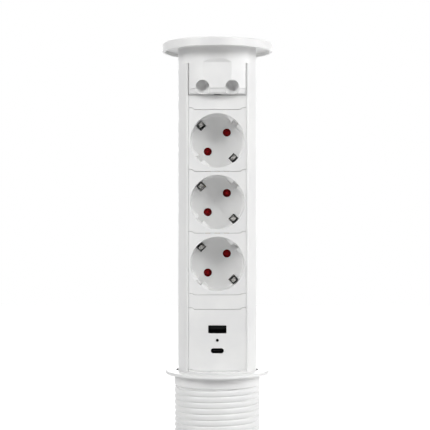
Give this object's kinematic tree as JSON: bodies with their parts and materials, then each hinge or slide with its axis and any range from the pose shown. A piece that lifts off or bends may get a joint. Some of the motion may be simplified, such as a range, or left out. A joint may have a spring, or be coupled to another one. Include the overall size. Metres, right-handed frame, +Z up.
{
  "type": "pop-up desk socket",
  "caption": "Round white socket tower that slides up out of a threaded sleeve in a desk hole, with earthed mains sockets and charging ports under a flat lid.",
  "frame": {"origin": "centre of the flange's underside, on the desk's top surface", "axes": "+Z up along the tower, -Y is the front with the sockets, +X to the right seen from the front"},
  "size_m": [0.077, 0.077, 0.4851],
  "materials": {
    "white_plastic": "satin",
    "grey_plastic": "satin",
    "dark_plastic": "satin",
    "black_plastic": "satin",
    "red_plastic": "gloss",
    "steel": "bright",
    "black_steel": "satin",
    "brass": "bright",
    "rubber": "matte",
    "felt": "matte",
    "board": "satin",
    "winding_tape": "gloss",
    "capacitor_can": "satin",
    "wire_cover": "satin",
    "lens": "gloss"
  },
  "bodies": {
    "sleeve": {"desk_sleeve": "white_plastic", "wiper_ring": "felt", "sleeve_end_cap": "grey_plastic"},
    "washer": {"clamp_washer": "steel"},
    "nut": {"clamp_nut": "white_plastic"},
    "tower": {"tower_shell": "white_plastic", "tower_head": "white_plastic", "lid": "white_plastic", "tower_base": "white_plastic", "upper_blank": "white_plastic", "lower_blank": "white_plastic", "charger_face": "white_plastic", "socket_face_top": "white_plastic", "socket_face_middle": "white_plastic", "socket_face_bottom": "white_plastic", "charger_box": "dark_plastic", "contact_housing_top": "dark_plastic", "contact_housing_middle": "dark_plastic", "contact_housing_bottom": "dark_plastic", "port_a_tongue": "black_plastic", "port_c_tongue": "black_plastic", "lid_screws": "steel", "base_screws": "steel", "catch_springs": "steel", "shutter_springs": "steel", "earth_strip_top": "steel", "earth_strip_middle": "steel", "earth_strip_bottom": "steel", "port_a_shell": "black_steel", "port_c_shell": "black_steel", "line_busbar": "brass", "neutral_busbar": "brass", "earth_busbar": "brass", "pin_contacts_top": "brass", "pin_contacts_middle": "brass", "pin_contacts_bottom": "brass", "cable_grommet": "rubber", "charger_board": "board", "charger_transformer": "winding_tape", "charger_capacitors": "capacitor_can", "supply_wires": "wire_cover", "indicator_lens": "lens"},
    "shutter_top": {"shutter_top": "red_plastic"},
    "shutter_middle": {"shutter_middle": "red_plastic"},
    "shutter_bottom": {"shutter_bottom": "red_plastic"},
    "catch_left": {"catch_left": "grey_plastic"},
    "catch_right": {"catch_right": "grey_plastic"}
  },
  "joints": [
    {"name": "tower_slide", "type": "slide", "parent": "sleeve", "child": "tower", "axis": [0, 0, 1], "range_m": [-0.2244, 0]},
    {"name": "nut_travel", "type": "slide", "parent": "sleeve", "child": "washer", "axis": [0, 0, 1], "range_m": [0, 0.0361]},
    {"name": "nut_turn", "type": "hinge", "parent": "washer", "child": "nut", "pos_m": [0, 0, -0.0532], "axis": [0, 0, 1], "range_deg": [0, 3240]},
    {"name": "catch_left_press", "type": "slide", "parent": "tower", "child": "catch_left", "axis": [1, 0, 0], "range_m": [0, 0.0012], "stiffness_N_per_m": 600, "springref_m": -0.0025},
    {"name": "catch_right_press", "type": "slide", "parent": "tower", "child": "catch_right", "axis": [-1, 0, 0], "range_m": [0, 0.0012], "stiffness_N_per_m": 600, "springref_m": -0.0025},
    {"name": "shutter_top_turn", "type": "hinge", "parent": "tower", "child": "shutter_top", "pos_m": [0, 0.0031, 0.16195], "axis": [0, 1, 0], "range_deg": [0, 42], "stiffness_Nm_per_rad": 0.003, "springref_deg": -20.05},
    {"name": "shutter_middle_turn", "type": "hinge", "parent": "tower", "child": "shutter_middle", "pos_m": [0, 0.0031, 0.11945], "axis": [0, 1, 0], "range_deg": [0, 42], "stiffness_Nm_per_rad": 0.003, "springref_deg": -20.05},
    {"name": "shutter_bottom_turn", "type": "hinge", "parent": "tower", "child": "shutter_bottom", "pos_m": [0, 0.0031, 0.07695], "axis": [0, 1, 0], "range_deg": [0, 42], "stiffness_Nm_per_rad": 0.003, "springref_deg": -20.05}
  ],
  "couplings": [
    {"joint": "nut_travel", "follows": "nut_turn", "m_per_rad": 0.00063662}
  ]
}
